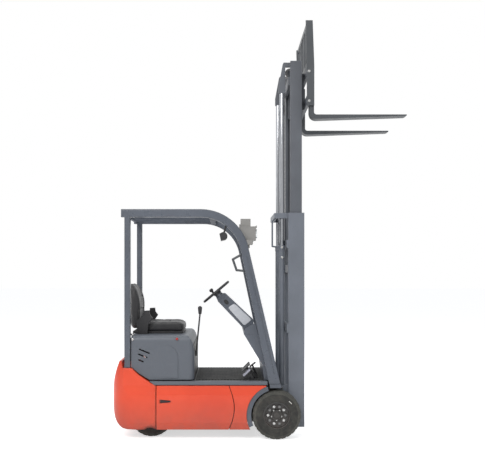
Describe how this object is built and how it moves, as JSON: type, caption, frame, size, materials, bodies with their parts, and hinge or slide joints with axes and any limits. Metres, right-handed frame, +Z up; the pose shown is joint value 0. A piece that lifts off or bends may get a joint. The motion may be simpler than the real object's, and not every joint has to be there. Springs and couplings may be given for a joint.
{
  "type": "electric counterbalance forklift truck",
  "caption": "Small electric counterbalance forklift: red body with rear counterweight, open overhead guard, driver's seat on a lifting hood, and a tilting two-stage mast with forks.",
  "frame": {"origin": "middle of the footprint's box, on the ground", "axes": "+X forward towards the fork tips, +Y to the driver's left, +Z up"},
  "size_m": [2.543, 0.99, 3.595],
  "materials": {
    "red_paint": "satin",
    "grey_paint": "satin",
    "dark_paint": "satin",
    "hood_plastic": "matte",
    "black_plastic": "matte",
    "mat_rubber": "matte",
    "seat_vinyl": "matte",
    "tyre_rubber": "matte",
    "fork_steel": "satin",
    "iron": "satin",
    "chrome_rod": "polished",
    "chain_steel": "oiled",
    "lamp_plastic": "matte",
    "battery_case": "matte"
  },
  "bodies": {
    "chassis": {"chassis": "dark_paint", "counterweight": "iron", "fender_left": "red_paint", "fender_right": "red_paint", "side_cover_left": "red_paint", "side_cover_right": "red_paint", "side_trim": "hood_plastic", "floor_mat": "mat_rubber", "arch_liners": "dark_paint", "drive_axle": "dark_paint", "steer_axle": "dark_paint", "battery": "battery_case", "kick_panel": "black_plastic", "control_lever": "black_plastic", "pedals": "dark_paint", "cowl": "hood_plastic", "steering_column": "grey_paint", "guard_frame": "grey_paint", "guard_roof": "grey_paint", "mirror": "black_plastic", "work_lamps": "lamp_plastic", "grab_handle": "black_plastic"},
    "hood_lid": {"hood": "hood_plastic", "seat_plinth": "black_plastic", "seat_cushion": "seat_vinyl", "seat_backrest": "seat_vinyl", "seat_arms": "black_plastic"},
    "steering_wheel": {"steering_wheel": "black_plastic"},
    "mast_outer": {"outer_mast": "grey_paint", "lift_barrels": "grey_paint", "mast_loops": "grey_paint", "rear_chains": "chain_steel"},
    "mast_inner": {"inner_mast": "grey_paint", "lift_rods": "chrome_rod", "chain_sheaves": "chain_steel", "front_chains": "chain_steel"},
    "fork_carriage": {"carriage": "fork_steel", "forks": "fork_steel", "load_backrest": "fork_steel"},
    "tilt_barrel": {"tilt_barrels": "grey_paint"},
    "tilt_rod": {"tilt_rods": "chrome_rod"},
    "front_wheel_left": {"front_rim_left": "dark_paint", "front_tyre_left": "tyre_rubber"},
    "rear_wheel_left": {"rear_rim_left": "dark_paint", "rear_tyre_left": "tyre_rubber"},
    "knuckle_left": {"knuckle_left": "dark_paint"},
    "front_wheel_right": {"front_rim_right": "dark_paint", "front_tyre_right": "tyre_rubber"},
    "rear_wheel_right": {"rear_rim_right": "dark_paint", "rear_tyre_right": "tyre_rubber"},
    "knuckle_right": {"knuckle_right": "dark_paint"}
  },
  "joints": [
    {"name": "mast_tilt", "type": "hinge", "parent": "chassis", "child": "mast_outer", "pos_m": [0.1435, 0, 0.208], "axis": [0, -1, 0], "range_deg": [-3, 5]},
    {"name": "mast_lift", "type": "slide", "parent": "mast_outer", "child": "mast_inner", "axis": [0, 0, 1], "range_m": [-1.336, 0], "deforming": ["rear_chains"]},
    {"name": "carriage_lift", "type": "slide", "parent": "mast_inner", "child": "fork_carriage", "axis": [0, 0, 1], "range_m": [-1.336, 0], "deforming": ["front_chains"]},
    {"name": "tilt_barrel_turn", "type": "hinge", "parent": "chassis", "child": "tilt_barrel", "pos_m": [-0.2325, 0, 0.4], "axis": [0, -1, 0], "range_deg": [-2, 2]},
    {"name": "tilt_rod_slide", "type": "slide", "parent": "tilt_barrel", "child": "tilt_rod", "axis": [0.9996, 0, 0.0276], "range_m": [-0.03, 0.03]},
    {"name": "hood_hinge", "type": "hinge", "parent": "chassis", "child": "hood_lid", "pos_m": [-1.0965, 0, 0.893], "axis": [0, -1, 0], "range_deg": [0, 60]},
    {"name": "steering_wheel_turn", "type": "hinge", "parent": "chassis", "child": "steering_wheel", "pos_m": [-0.3795, 0, 1.25], "axis": [-0.6428, 0, 0.766], "continuous": true},
    {"name": "front_wheel_left_roll", "type": "hinge", "parent": "chassis", "child": "front_wheel_left", "pos_m": [0.1435, 0.42, 0.208], "axis": [0, 1, 0], "continuous": true},
    {"name": "steer_left", "type": "hinge", "parent": "chassis", "child": "knuckle_left", "pos_m": [-0.9365, 0.225, 0.19], "axis": [0, 0, 1], "range_deg": [-55, 55]},
    {"name": "rear_wheel_left_roll", "type": "hinge", "parent": "knuckle_left", "child": "rear_wheel_left", "pos_m": [-0.9365, 0.312, 0.19], "axis": [0, 1, 0], "continuous": true},
    {"name": "front_wheel_right_roll", "type": "hinge", "parent": "chassis", "child": "front_wheel_right", "pos_m": [0.1435, -0.42, 0.208], "axis": [0, 1, 0], "continuous": true},
    {"name": "steer_right", "type": "hinge", "parent": "chassis", "child": "knuckle_right", "pos_m": [-0.9365, -0.225, 0.19], "axis": [0, 0, 1], "range_deg": [-55, 55]},
    {"name": "rear_wheel_right_roll", "type": "hinge", "parent": "knuckle_right", "child": "rear_wheel_right", "pos_m": [-0.9365, -0.312, 0.19], "axis": [0, 1, 0], "continuous": true}
  ],
  "couplings": [
    {"joint": "carriage_lift", "follows": "mast_lift", "ratio": 1},
    {"joint": "tilt_barrel_turn", "follows": "mast_tilt", "ratio": 0.1406},
    {"joint": "tilt_rod_slide", "follows": "mast_tilt", "m_per_rad": -0.20315},
    {"joint": "steer_right", "follows": "steer_left", "ratio": 1}
  ]
}
